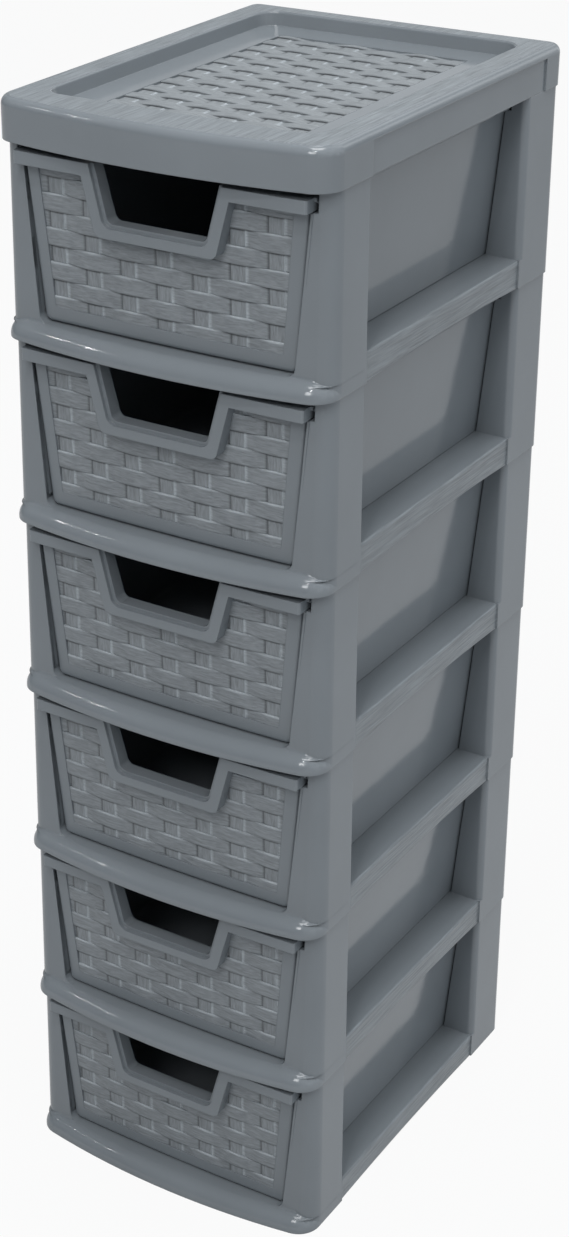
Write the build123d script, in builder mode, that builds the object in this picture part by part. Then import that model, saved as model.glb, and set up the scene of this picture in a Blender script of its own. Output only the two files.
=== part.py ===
from build123d import *
import os
from math import atan, cos, degrees, radians, sin, tan

# A free-standing tower of six drawers, moulded in one grey plastic.
# Six identical stacking frames carry six identical drawers, and a tray-topped lid
# caps the posts of the uppermost frame. +Z is up, the drawers open towards -Y, and
# the origin is the middle of the footprint on the floor. All sizes are millimetres.

os.makedirs("parts", exist_ok=True)

# ---------------------------------------------------------------- tower
tier_count = 6
tier_pitch = 108.0            # height of one frame, from its rim to the next one's
width = 203.0
depth = 268.0                 # overall, the bowed front included
wall = 2.8                    # general wall of the frames and the lid
fit_clearance = 0.3           # between parts that plug into or rest on each other

# ---------------------------------------------------------------- plan of frames and lid
front_bow = 10.0              # how far the middle of the front stands out
front_corner_radius = 15.0
rear_corner_radius = 8.0

# ---------------------------------------------------------------- frame
ledge_height = 16.5           # runners for the drawer, above the frame's lower edge
rail_height = 10.0            # front rail, lower than the runners
rail_round = 9.0              # rounded upper edge of the front rail
rail_wall = 3.0
rail_hollow_height = 5.0
post_setback = 13.0           # front of the posts behind the rail's foremost line
post_bow = 3.0
post_corner_radius = 10.0
post_inset_top = 1.0          # each post narrows by this much up to its top
foot_blend = 4.0              # hollow curve from each post's front into the rail
foot_blend_bottom = 8.0       # where it starts, inside the rail's rounded edge
foot_blend_steps = 4          # flats that make up the curve
front_post_reach = 51.0       # rear edge of the front posts, from the rail's front
rear_post_depth = 42.0
front_post_edge_radius = 1.2
rear_post_edge_radius = 4.0
post_foot_width = 21.5        # seen from the front, at the runners
post_head_width = 14.5        # seen from the front, below the step for the drawer's rim
opening_corner_radius = 5.0
relief_bottom = 96.3          # step in the posts that lets the ends of the drawer's lip pass
rim_relief_bottom = 100.2     # the same step behind the lip, for the drawer's rim
relief_post_width = 10.5      # what is left of each post beside the step
rear_stop_height = 8.0        # upstand at the back of the runners
strip_recess = 1.0            # side strips sit this far behind the posts
strip_arch = 2.0              # rise of the arched lower edge between the feet
strip_edge_radius = 1.8       # rounded upper edge of the side strips
runner_width = 28.5           # from the tower's side to the shelf's open middle
middle_front = 34.0           # its front edge, from the rail's front
middle_back = 24.0            # its back edge, from the tower's back
middle_corner_radius = 6.0
rib = 2.0                     # upstanding rib under the edge of the open middle
tongue_height = 10.0          # locating tongues on the post tops
tongue_root = 12.0
tongue_length = 18.0
tongue_shoulder = 9.0         # rear tongues start this far in from the post's back

# ---------------------------------------------------------------- drawer
drawer_top = 104.0            # above the frame's lower edge
drawer_bottom = 10.5          # the front hangs lower than the box behind it
side_clearance = 0.9
drawer_wall = 2.0
drawer_floor = 2.2
front_wall = 4.0
face_setback = 13.5           # top of the drawer's face behind the rail's front
draft = 2.2                   # degrees, front and back walls of the drawer
drawer_corner_radius = 4.0    # lower corners, seen from the front
drawer_edge_radius = 2.4      # rounded edge round the drawer's face
drawer_rear_radius = 3.6
drawer_back_gap = 5.0         # drawer rim to the tower's back
rim_clearance = 1.25          # turned-down rim of the drawer to the step beside it
rim_thickness = 2.0
rim_skirt = 1.5
rim_depth = 3.2
field_depth = 1.6             # sunken field that holds the woven relief
field_side_border = 8.5
field_bottom_border = 9.0
field_corner_radius = 1.0

# ---------------------------------------------------------------- pull of the drawer
pull_setback = 7.5            # front of the lip, behind the rail's front
pull_bow = 1.0
lip_height = 7.0
lip_clearance = 2.5           # each end of the lip to the step beside it
lip_corner_radius = 1.5
notch_width_top = 76.0        # clear finger opening at the drawer's top
notch_width_bottom = 60.0
notch_depth = 30.5
notch_corner_radius = 4.0
pull_band = 8.6               # raised band at each side of the opening
pull_bar = 7.5                # raised band under the opening
pull_corner_radius = 4.5
step_width = 2.0              # step round the opening, inside the band
step_depth = 2.6

# ---------------------------------------------------------------- lid
lid_height = 22.8
lid_edge_radius = 5.0
tray_depth = 8.0
tray_front_rim = 29.5         # flat rim in front of the tray
tray_side_rim = 18.5
tray_back_rim = 16.0
tray_corner_radius = 12.0
tray_draft = 8.0              # degrees
tray_edge_radius = 1.4        # rounded upper edge of the tray
tray_field_side = 22.7        # tray's upper edge to the sunken field in its floor
tray_field_end = 21.0
lid_rear_pad = 22.0           # smooth corner block at the back of the lid's side

front_y = -depth / 2
back_y = depth / 2
half_width = width / 2
opening_width_bottom = width - 2 * post_foot_width
opening_width_top = width - 2 * post_head_width
relief_width = width - 2 * relief_post_width
middle_width = width - 2 * runner_width
rim_width = relief_width - 2 * rim_clearance
lip_width = relief_width - 2 * lip_clearance
window_front = front_y + front_post_reach
window_back = back_y - rear_post_depth
post_draft = degrees(atan(post_inset_top / tier_pitch))
opening_slope = (opening_width_top - opening_width_bottom) / 2 / (relief_bottom - ledge_height)
cut_margin = 1.0              # cutters run past the faces that they open


def opening_half(height):
    """Half the width of the drawer opening, which widens upwards."""
    return opening_width_bottom / 2 + (height - ledge_height) * opening_slope


def plan(height, setback, bow, half, back_inset, front_radius, back_radius):
    """Outline from above: straight sides and back, and a front that bows out."""
    nearest = front_y + setback
    shoulder = nearest + bow
    farthest = back_y - back_inset
    with BuildSketch(Plane.XY.offset(height)) as outline:
        with BuildLine():
            ThreePointArc((-half, shoulder), (0, nearest), (half, shoulder))
            Polyline((half, shoulder), (half, farthest), (-half, farthest), (-half, shoulder))
        make_face()
        if front_radius > 0:
            fillet(outline.vertices().group_by(Axis.Y)[0], front_radius)
        if back_radius > 0:
            fillet(outline.vertices().group_by(Axis.Y)[-1], back_radius)
    return outline.sketch


def opening_section(bottom, step, corner_radius, rear):
    """The drawer opening as seen from the front, widened above the height of the step."""
    top = tier_pitch + cut_margin
    with BuildSketch(Plane.XZ.offset(-rear)) as section:
        with BuildLine():
            Polyline(
                (-opening_half(bottom), bottom),
                (opening_half(bottom), bottom),
                (opening_half(step), step),
                (relief_width / 2, step),
                (relief_width / 2, top),
                (-relief_width / 2, top),
                (-relief_width / 2, step),
                (-opening_half(step), step),
                close=True,
            )
        make_face()
        if corner_radius > 0:
            fillet(section.vertices().group_by(Axis.Y)[0], corner_radius)
    return section.sketch


def drawer_section(bottom, top, inset, corner_radius):
    """The drawer from the front: sides that draw in downwards, rounded lower corners."""
    low = opening_half(bottom) - side_clearance - inset
    high = opening_half(top) - side_clearance - inset
    with BuildSketch(Plane.XZ.offset(-back_y)) as section:
        with BuildLine():
            Polyline((-low, bottom), (low, bottom), (high, top), (-high, top), close=True)
        make_face()
        fillet(section.vertices().group_by(Axis.Y)[0], corner_radius)
    return section.sketch


def notch_points(grow, bottom_grow, top):
    """Corners of the finger opening, grown sideways and downwards by the given amounts."""
    notch_slope = (notch_width_top - notch_width_bottom) / 2 / notch_depth
    bottom = drawer_top - notch_depth - bottom_grow
    low = notch_width_bottom / 2 + grow - bottom_grow * notch_slope
    high = notch_width_top / 2 + grow + (top - drawer_top) * notch_slope
    return [(-low, bottom), (low, bottom), (high, top), (-high, top)]


def notch_section(grow, corner_radius):
    """The finger opening seen from the front, open at the top."""
    with BuildSketch(Plane.XZ.offset(-front_y)) as section:
        with BuildLine():
            Polyline(*notch_points(grow, grow, drawer_top + cut_margin), close=True)
        make_face()
        fillet(section.vertices().group_by(Axis.Y)[0], corner_radius)
    return section.sketch


# ---------------------------------------------------------------- front rail of a frame
# It bows out past the posts. Its rounded upper edge dies into them at each end.
rail_reach = front_post_reach - wall
with BuildPart() as front_rail:
    extrude(plan(0, 0, front_bow, half_width, 0, front_corner_radius, rear_corner_radius),
            amount=rail_height)
    with BuildSketch() as rail_zone:
        with Locations((0, front_y + rail_reach / 2)):
            Rectangle(width, rail_reach)
    extrude(amount=rail_height, mode=Mode.INTERSECT)
    rail_top = front_rail.faces().sort_by(Axis.Z)[-1]
    fillet(rail_top.edges().sort_by(Axis.Y)[:-1], rail_round)

# ---------------------------------------------------------------- blend at the posts' feet
# A quarter-round hollow built of tapered layers, which the opening leaves at the posts only.
with BuildPart() as post_feet:
    for step in range(foot_blend_steps):
        low = radians(90 * step / foot_blend_steps)
        high = radians(90 * (step + 1) / foot_blend_steps)
        rise = foot_blend * (cos(low) - cos(high))
        draw_in = foot_blend * (sin(high) - sin(low))
        reach = foot_blend * (1 - sin(low))
        extrude(plan(foot_blend_bottom + foot_blend * (1 - cos(low)), post_setback - reach, post_bow,
                     half_width - foot_blend * sin(low), 0, post_corner_radius + reach, 0),
                amount=rise, taper=degrees(atan(draw_in / rise)))
    with BuildSketch(Plane.XY.offset(foot_blend_bottom)) as feet_zone:
        with Locations((0, front_y + rail_reach / 2)):
            Rectangle(width, rail_reach)
    extrude(amount=foot_blend, mode=Mode.INTERSECT)

# ---------------------------------------------------------------- hollow under the front rail
with BuildPart() as rail_hollow:
    extrude(plan(0, rail_wall, front_bow, half_width - rail_wall, 0,
                 front_corner_radius - rail_wall, rear_corner_radius),
            amount=rail_hollow_height)
    with BuildSketch() as hollow_zone:
        with Locations((0, front_y + rail_reach / 2)):
            Rectangle(width, rail_reach)
    extrude(amount=rail_hollow_height, mode=Mode.INTERSECT)

# ---------------------------------------------------------------- frame
# The drawer's face leans back, so the room for it ends behind the foot of the face.
face_foot = face_setback + (drawer_top - drawer_bottom) * tan(radians(draft))
face_room = face_foot + post_bow + front_wall + side_clearance
open_length = depth - middle_front - middle_back
open_centre = front_y + middle_front + open_length / 2
window_length = window_back - window_front
window_centre = (window_front + window_back) / 2
with BuildPart() as frame:
    extrude(plan(0, post_setback, post_bow, half_width, 0, post_corner_radius, rear_corner_radius),
            amount=tier_pitch, taper=post_draft)
    # hollow above the runners
    extrude(plan(ledge_height, post_setback + wall, post_bow, half_width - wall, wall,
                 post_corner_radius - wall, rear_corner_radius - wall),
            amount=tier_pitch, taper=post_draft, mode=Mode.SUBTRACT)
    # inward flanges stiffen the posts on the window side
    flange_width = width - 2 * post_inset_top - wall
    with BuildSketch(Plane.XY.offset(ledge_height)) as flanges:
        with Locations((0, window_front - wall / 2), (0, window_back + wall / 2)):
            Rectangle(flange_width, wall)
    extrude(amount=tier_pitch - ledge_height)
    # side windows between the posts
    with BuildSketch(Plane.XY.offset(ledge_height)) as windows:
        with Locations((0, window_centre)):
            Rectangle(width, window_length)
    extrude(amount=tier_pitch, mode=Mode.SUBTRACT)
    # rounded post edges beside the windows
    for post_edge_y, post_edge_radius in (
        (window_back, rear_post_edge_radius),
        (window_front, front_post_edge_radius),
    ):
        post_edges = frame.edges().filter_by(
            lambda edge: edge.length > tier_pitch / 2
            and abs(edge.center().X) > half_width - wall / 2
            and abs(edge.center().Y - post_edge_y) < wall / 2
        )
        fillet(post_edges, post_edge_radius)
    add(front_rail.part)
    add(post_feet.part)
    # the drawer opening: over the front rail, along the runners and out at the back
    extrude(opening_section(rail_height, relief_bottom, opening_corner_radius,
                            front_y + face_room),
            amount=face_room + cut_margin, mode=Mode.SUBTRACT)
    runner_room = depth - face_room - 2 * wall
    extrude(opening_section(ledge_height, rim_relief_bottom, 0, back_y - 2 * wall),
            amount=runner_room, mode=Mode.SUBTRACT)
    extrude(opening_section(ledge_height + rear_stop_height, rim_relief_bottom,
                            opening_corner_radius, back_y),
            amount=2 * wall, mode=Mode.SUBTRACT)
    # underside: hollow between the skirts and the rib round the open middle
    hollow_length = depth - face_room - 2 * wall
    with BuildSketch() as shelf_hollow:
        with Locations((0, front_y + face_room + wall + hollow_length / 2)):
            RectangleRounded(width - 2 * wall, hollow_length, rear_corner_radius - wall)
        with Locations((0, open_centre)):
            RectangleRounded(middle_width + 2 * rib, open_length + 2 * rib,
                             middle_corner_radius + rib, mode=Mode.SUBTRACT)
    extrude(amount=ledge_height - wall, mode=Mode.SUBTRACT)
    with BuildSketch() as open_middle:
        with Locations((0, open_centre)):
            RectangleRounded(middle_width, open_length, middle_corner_radius)
    extrude(amount=ledge_height, mode=Mode.SUBTRACT)
    add(rail_hollow.part, mode=Mode.SUBTRACT)
    # side strips set back between the posts, with an arched lower edge
    with BuildSketch() as strips:
        with Locations((-half_width, window_centre), (half_width, window_centre)):
            Rectangle(2 * strip_recess, window_length)
    extrude(amount=ledge_height, mode=Mode.SUBTRACT)
    edge_x = half_width - strip_recess - strip_edge_radius
    edge_z = ledge_height - strip_edge_radius
    edge_size = strip_edge_radius + cut_margin
    with BuildSketch(Plane.XZ.offset(-window_back)) as strip_edges:
        for side in (-1, 1):
            with Locations((side * (edge_x + edge_size / 2), edge_z + edge_size / 2)):
                Rectangle(edge_size, edge_size)
            with Locations((side * edge_x, edge_z)):
                Circle(strip_edge_radius, mode=Mode.SUBTRACT)
    extrude(amount=window_length, mode=Mode.SUBTRACT)
    with BuildSketch(Plane.YZ) as arch:
        with BuildLine():
            ThreePointArc((window_front, 0), (window_centre, strip_arch), (window_back, 0))
            Line((window_back, 0), (window_front, 0))
        make_face()
    extrude(amount=half_width, both=True, mode=Mode.SUBTRACT)
    # tongues that plug into the frame or lid above
    tongue_outer = half_width - wall - fit_clearance
    tongue_inner = relief_width / 2 + side_clearance
    tongue_x = (tongue_outer + tongue_inner) / 2
    tongue_front = window_front - wall / 2 - tongue_length / 2
    tongue_back = back_y - tongue_shoulder - tongue_length / 2
    with BuildSketch(Plane.XY.offset(tier_pitch - tongue_root)) as tongues:
        with Locations((-tongue_x, tongue_front), (tongue_x, tongue_front),
                       (-tongue_x, tongue_back), (tongue_x, tongue_back)):
            Rectangle(tongue_outer - tongue_inner, tongue_length)
    extrude(amount=tongue_root + tongue_height)

# ---------------------------------------------------------------- inside of a drawer
floor_top = ledge_height + fit_clearance + drawer_floor
box_back = drawer_back_gap + (rim_width / 2 - opening_half(drawer_top) + side_clearance)
with BuildPart() as drawer_inside:
    extrude(drawer_section(floor_top, drawer_top + cut_margin, drawer_wall,
                           drawer_corner_radius - drawer_wall), amount=depth)
    extrude(plan(drawer_top, face_setback + front_wall, post_bow, half_width,
                 box_back + drawer_wall, 0, 0),
            amount=-drawer_top, taper=draft, mode=Mode.INTERSECT)
    inner_corners = drawer_inside.edges().filter_by(
        lambda edge: edge.length > drawer_top / 2
        and edge.center().Y > back_y / 2
        and abs(edge.center().X) > half_width / 2
    )
    fillet(inner_corners, drawer_rear_radius - drawer_wall)

# ---------------------------------------------------------------- sunken field of the face
# A skin of the face, field_depth thick, cut to the outline inside the plain borders.
with BuildPart() as field:
    extrude(plan(drawer_top, face_setback - cut_margin, post_bow, half_width, 0, 0, 0),
            amount=drawer_bottom - drawer_top, taper=draft)
    extrude(plan(drawer_top, face_setback + field_depth, post_bow, half_width + cut_margin,
                 -cut_margin, 0, 0),
            amount=-drawer_top, taper=draft, mode=Mode.SUBTRACT)
    extrude(drawer_section(drawer_bottom + field_bottom_border, drawer_top - lip_height,
                           field_side_border, field_corner_radius),
            amount=depth, mode=Mode.INTERSECT)

# ---------------------------------------------------------------- pull: lip and raised band
with BuildPart() as pull:
    with BuildSketch(Plane.XZ.offset(-front_y)) as pull_outline:
        with Locations((0, drawer_top - lip_height / 2)):
            Rectangle(lip_width + 2 * cut_margin, lip_height)
        with BuildLine():
            Polyline(*notch_points(pull_band, pull_bar, drawer_top - lip_height / 2), close=True)
        make_face()
        fillet(pull_outline.vertices().group_by(Axis.Y)[0], pull_corner_radius)
    extrude(amount=-(face_setback + front_wall + post_bow))
    with BuildSketch() as pull_zone:
        add(plan(0, pull_setback, pull_bow, lip_width / 2, 0, lip_corner_radius, 0))
        add(plan(0, face_foot, post_bow, lip_width / 2 + cut_margin, 0, 0, 0),
            mode=Mode.SUBTRACT)
    extrude(amount=tier_pitch, mode=Mode.INTERSECT)

# ---------------------------------------------------------------- drawer
with BuildPart() as drawer:
    extrude(drawer_section(drawer_bottom, drawer_top, 0, drawer_corner_radius), amount=depth)
    extrude(plan(drawer_top, face_setback, post_bow, half_width, box_back, 0, 0),
            amount=-drawer_top, taper=draft, mode=Mode.INTERSECT)
    rear_corners = drawer.edges().filter_by(
        lambda edge: edge.length > drawer_top / 2
        and edge.center().Y > back_y / 2
        and abs(edge.center().X) > half_width / 2
    )
    fillet(rear_corners, drawer_rear_radius)
    face_edges = drawer.edges().filter_by(
        lambda edge: edge.center().Y < front_y + face_room
        and edge.center().Z < drawer_top - cut_margin
    )
    fillet(face_edges, drawer_edge_radius)
    # the box behind the front stops short of the front's lower edge
    skirt_length = depth - face_foot - post_bow - front_wall
    with BuildSketch() as under_box:
        with Locations((0, back_y - skirt_length / 2)):
            Rectangle(width, skirt_length)
    extrude(amount=ledge_height + fit_clearance, mode=Mode.SUBTRACT)
    add(field.part, mode=Mode.SUBTRACT)
    add(pull.part)
    # rim turned out and down along the sides and the back
    with BuildSketch(Plane.XY.offset(drawer_top - rim_thickness)) as rim_plate:
        add(plan(0, face_setback, post_bow, rim_width / 2, drawer_back_gap, 0, drawer_rear_radius))
    extrude(amount=rim_thickness)
    with BuildSketch(Plane.XY.offset(drawer_top - rim_depth)) as rim_edge:
        add(plan(0, face_setback + front_wall / 2, post_bow, rim_width / 2, drawer_back_gap, 0,
                 drawer_rear_radius))
        add(plan(0, face_setback, post_bow, rim_width / 2 - rim_skirt, drawer_back_gap + rim_skirt,
                 0, drawer_rear_radius - rim_skirt), mode=Mode.SUBTRACT)
    extrude(amount=rim_depth)
    add(drawer_inside.part, mode=Mode.SUBTRACT)
    # finger opening, with a step round it
    extrude(notch_section(0, notch_corner_radius), amount=-face_room, mode=Mode.SUBTRACT)
    extrude(notch_section(step_width, notch_corner_radius + step_width),
            amount=-(pull_setback + step_depth), mode=Mode.SUBTRACT)

# ---------------------------------------------------------------- lid
lid_base = tier_count * tier_pitch
tray_length = depth - tray_front_rim - tray_back_rim
tray_width = width - 2 * tray_side_rim
tray_centre = front_y + tray_front_rim + tray_length / 2
tray_field_width = tray_width - 2 * tray_field_side
tray_field_length = tray_length - 2 * tray_field_end
strip_front = window_front
strip_back = back_y - lid_rear_pad
with BuildPart() as lid:
    extrude(plan(lid_base, 0, front_bow, half_width, 0, front_corner_radius, rear_corner_radius),
            amount=lid_height)
    fillet(lid.faces().sort_by(Axis.Z)[-1].edges(), lid_edge_radius)
    # tray sunk into the top
    with BuildSketch(Plane.XY.offset(lid_base + lid_height)) as tray:
        with Locations((0, tray_centre)):
            RectangleRounded(tray_width, tray_length, tray_corner_radius)
    extrude(amount=-tray_depth, taper=tray_draft, mode=Mode.SUBTRACT)
    tray_edges = lid.faces().sort_by(Axis.Z)[-1].inner_wires()[0].edges()
    fillet(tray_edges, tray_edge_radius)
    # sunken field in the tray's floor
    with BuildSketch(Plane.XY.offset(lid_base + lid_height - tray_depth)) as tray_field:
        with Locations((0, tray_centre)):
            Rectangle(tray_field_width, tray_field_length)
    extrude(amount=-field_depth, mode=Mode.SUBTRACT)
    # hollow below the tray, and deeper inside the rim
    tray_underside = lid_height - tray_depth - wall
    extrude(plan(lid_base, wall, front_bow, half_width - wall, wall, front_corner_radius - wall,
                 rear_corner_radius - wall), amount=tray_underside - field_depth, mode=Mode.SUBTRACT)
    with BuildSketch(Plane.XY.offset(lid_base)) as margin_hollow:
        add(plan(0, wall, front_bow, half_width - wall, wall, front_corner_radius - wall,
                 rear_corner_radius - wall))
        with Locations((0, tray_centre)):
            Rectangle(tray_field_width + 2 * wall, tray_field_length + 2 * wall, mode=Mode.SUBTRACT)
    extrude(amount=tray_underside, mode=Mode.SUBTRACT)
    with BuildSketch(Plane.XY.offset(lid_base)) as rim_hollow:
        add(plan(0, wall, front_bow, half_width - wall, wall, front_corner_radius - wall,
                 rear_corner_radius - wall))
        with Locations((0, tray_centre)):
            RectangleRounded(tray_width + 2 * wall, tray_length + 2 * wall,
                             tray_corner_radius + wall, mode=Mode.SUBTRACT)
    extrude(amount=lid_height - wall, mode=Mode.SUBTRACT)
    # side skirts set back between the corner blocks
    with BuildSketch(Plane.XY.offset(lid_base)) as lid_strips:
        strip_middle = (strip_front + strip_back) / 2
        with Locations((-half_width, strip_middle), (half_width, strip_middle)):
            Rectangle(2 * strip_recess, strip_back - strip_front)
    extrude(amount=lid_height - lid_edge_radius, mode=Mode.SUBTRACT)

# ---------------------------------------------------------------- the tower
for tier in range(tier_count):
    tier_base = tier * tier_pitch
    with BuildPart() as stacked_frame:
        with Locations((0, 0, tier_base)):
            add(frame.part)
    stacked_frame.part.label = f"frame_{tier + 1}"
    export_step(stacked_frame.part, f"parts/{stacked_frame.part.label}.step")
    with BuildPart() as fitted_drawer:
        with Locations((0, 0, tier_base)):
            add(drawer.part)
    fitted_drawer.part.label = f"drawer_{tier + 1}"
    export_step(fitted_drawer.part, f"parts/{fitted_drawer.part.label}.step")

lid.part.label = "lid"
export_step(lid.part, "parts/lid.step")
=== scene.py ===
# %% [markdown]
# # A drawer tower in moulded plastic
# The object is a free-standing tower of six drawers, injection moulded in one slate grey
# polypropylene. Its construction is already there as a fixed frame of solids: a lid, six
# stacking frames and six drawers. This lesson gives them their looks. The two things that make
# the plastic read as the real one are the woven relief on the drawers and in the lid's tray,
# and a finish that changes from glossy to finely grained on the same piece.

# %% Load the frame
import math

import bmesh
import bpy
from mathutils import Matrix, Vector


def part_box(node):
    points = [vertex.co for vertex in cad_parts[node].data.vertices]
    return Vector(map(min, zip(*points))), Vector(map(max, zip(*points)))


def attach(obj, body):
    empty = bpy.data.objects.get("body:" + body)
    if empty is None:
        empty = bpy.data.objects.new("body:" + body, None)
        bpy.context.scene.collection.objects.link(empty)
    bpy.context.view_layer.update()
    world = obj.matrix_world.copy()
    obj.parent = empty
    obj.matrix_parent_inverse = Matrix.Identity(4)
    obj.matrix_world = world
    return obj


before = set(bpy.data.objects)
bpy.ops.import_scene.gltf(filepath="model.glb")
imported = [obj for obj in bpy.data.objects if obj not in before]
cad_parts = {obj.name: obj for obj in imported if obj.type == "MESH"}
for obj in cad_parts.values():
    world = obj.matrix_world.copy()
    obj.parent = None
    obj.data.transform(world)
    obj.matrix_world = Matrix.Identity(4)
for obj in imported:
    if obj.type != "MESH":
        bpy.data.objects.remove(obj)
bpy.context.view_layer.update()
MM = 0.001

# %% [markdown]
# ## Sizes
# Everything below is worked out from the boxes of the CAD nodes and from a few sizes that the
# moulding has. The woven relief sits in a sunken field, so its depth is that of the field.

# %% Driving sizes
TIER_COUNT = 6
LOW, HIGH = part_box("frame_1")
HALF_WIDTH = HIGH.x
FRONT = LOW.y
BACK = HIGH.y
TIER_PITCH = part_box("frame_2")[0].z - LOW.z
LID_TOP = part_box("lid")[1].z
print("tier pitch in mm:", round(TIER_PITCH / MM, 2))

# %% [markdown]
# ## Camera
# The camera stands to the right of the front and looks down on the lid. Its azimuth, elevation
# and distance were fitted to the corners of the lid and to the seams between the frames. The
# picture is a crop of a wider view, which the two shift values put back.

# %% Camera
CAMERA_AZIMUTH = math.radians(33.762)
CAMERA_ELEVATION = math.radians(28.259)
CAMERA_ROLL = math.radians(-0.684)
CAMERA_DISTANCE = 1487.9 * MM
CAMERA_TARGET = Vector((-79.9, 5.6, 270.2)) * MM
FOCAL_LENGTH_PX = 2349.88
PICTURE_WIDTH_PX = 569
PICTURE_HEIGHT_PX = 1237
CENTRE_COLUMN_PX = 172.67
CENTRE_ROW_PX = 687.39


def make_camera():
    """A camera at the fitted place, rolled a little about its own axis."""
    data = bpy.data.cameras.new("camera")
    data.lens = FOCAL_LENGTH_PX * data.sensor_width / PICTURE_HEIGHT_PX
    data.shift_x = (PICTURE_WIDTH_PX / 2 - CENTRE_COLUMN_PX) / PICTURE_HEIGHT_PX
    data.shift_y = (CENTRE_ROW_PX - PICTURE_HEIGHT_PX / 2) / PICTURE_HEIGHT_PX
    data.clip_start = CAMERA_DISTANCE / 100
    camera = bpy.data.objects.new("camera", data)
    bpy.context.scene.collection.objects.link(camera)
    out = Vector((
        math.sin(CAMERA_AZIMUTH) * math.cos(CAMERA_ELEVATION),
        -math.cos(CAMERA_AZIMUTH) * math.cos(CAMERA_ELEVATION),
        math.sin(CAMERA_ELEVATION),
    ))
    level = out.to_track_quat("Z", "Y").to_matrix()
    right = level.col[0]
    up = level.col[1]
    turned_right = right * math.cos(CAMERA_ROLL) + up * math.sin(CAMERA_ROLL)
    turned_up = up * math.cos(CAMERA_ROLL) - right * math.sin(CAMERA_ROLL)
    level.col[0] = turned_right
    level.col[1] = turned_up
    camera.location = CAMERA_TARGET + out * CAMERA_DISTANCE
    camera.rotation_euler = level.to_euler()
    bpy.context.scene.camera = camera
    return camera


camera = make_camera()
print("lens in mm:", round(camera.data.lens, 1))

# %% [markdown]
# ## Two small helpers
# Colours are written as the hex values a painter would pick from a screen, and one function
# turns them to the linear values that shaders work in. A second one adds a node to a tree with
# its settings and links, so that a material reads as a list of what it is made of.

# %% Helpers for colour and nodes


def linear(hex_colour):
    """An sRGB hex colour as linear red, green, blue and an alpha of one."""
    parts = [int(hex_colour[i:i + 2], 16) / 255 for i in (1, 3, 5)]
    return [c / 12.92 if c <= 0.04045 else ((c + 0.055) / 1.055) ** 2.4 for c in parts] + [1.0]


def add_node(tree, kind, inputs=None, **settings):
    """Adds a node. An input is a value, or a socket of an earlier node to link from."""
    node = tree.nodes.new(kind)
    for name, value in settings.items():
        setattr(node, name, value)
    for name, value in (inputs or {}).items():
        socket = node.inputs[name]
        if isinstance(value, bpy.types.NodeSocket):
            tree.links.new(value, socket)
        else:
            socket.default_value = value
    return node


# %% [markdown]
# ## Floor, background and light
# A plain pale floor and a pale room suit a glossy plastic, because most of what the eye reads as
# gloss is the room mirrored in it. The room is brighter above than below and on one side than on
# the other, which puts the soft light-to-dark change on the rounded rails. One broad soft lamp
# hangs almost overhead, so that the lid is lightest, and a second one lights the fronts. Two pairs
# of very small lamps give the paired sparks that a ceiling fitting leaves on a rounded corner.

# %% Floor
FLOOR_SIZE = 12.0
FLOOR_WHITE_TO_CAMERA = 0.93
FLOOR_WHITE_IN_GLOSS = 0.5


def make_floor():
    """A pale floor that the camera sees as nearly white, with the object's shadow on it."""
    mesh = bpy.data.meshes.new("floor")
    half = FLOOR_SIZE / 2
    mesh.from_pydata([(-half, -half, 0), (half, -half, 0), (half, half, 0), (-half, half, 0)],
                     [], [(0, 1, 2, 3)])
    floor = bpy.data.objects.new("floor", mesh)
    bpy.context.scene.collection.objects.link(floor)
    material = bpy.data.materials.new("painted_floor")
    material.use_nodes = True
    tree = material.node_tree
    tree.nodes.clear()
    paint = add_node(tree, "ShaderNodeBsdfDiffuse", {"Color": linear("#B2B4B6")})
    white = add_node(tree, "ShaderNodeEmission", {"Color": linear("#FFFFFF"), "Strength": 1.0})
    ray = add_node(tree, "ShaderNodeLightPath")
    mirrored = add_node(tree, "ShaderNodeMath",
                        {0: ray.outputs["Is Glossy Ray"], 1: FLOOR_WHITE_IN_GLOSS},
                        operation="MULTIPLY")
    share = add_node(tree, "ShaderNodeMath",
                     {0: ray.outputs["Is Camera Ray"], 1: FLOOR_WHITE_TO_CAMERA,
                      2: mirrored.outputs[0]},
                     operation="MULTIPLY_ADD")
    mix = add_node(tree, "ShaderNodeMixShader",
                   {0: share.outputs[0], 1: paint.outputs[0], 2: white.outputs[0]})
    add_node(tree, "ShaderNodeOutputMaterial", {"Surface": mix.outputs[0]})
    mesh.materials.append(material)
    return floor


make_floor()

# %% The room
ROOM_BELOW = "#6A6D70"
ROOM_LEVEL = "#8A8E92"
ROOM_ABOVE = "#D2D5D6"
ROOM_DARK_SIDE = 0.4
ROOM_BRIGHT_SIDE = 2.5
GLOSS_DARK = "#434A50"
GLOSS_BRIGHT = "#FAFDFF"
GLOSS_DARK_TOWARD = -0.6
GLOSS_BRIGHT_TOWARD = 0.8
BANDS_ROUND = 4.5
BANDS_UP = 0.25
BAND_NOISE = (0.38, 0.62)
BAND_STRENGTH = (0.25, 1.7)
BRIGHT_SIDE = Vector((0.62, 0.74, -0.26))


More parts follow.
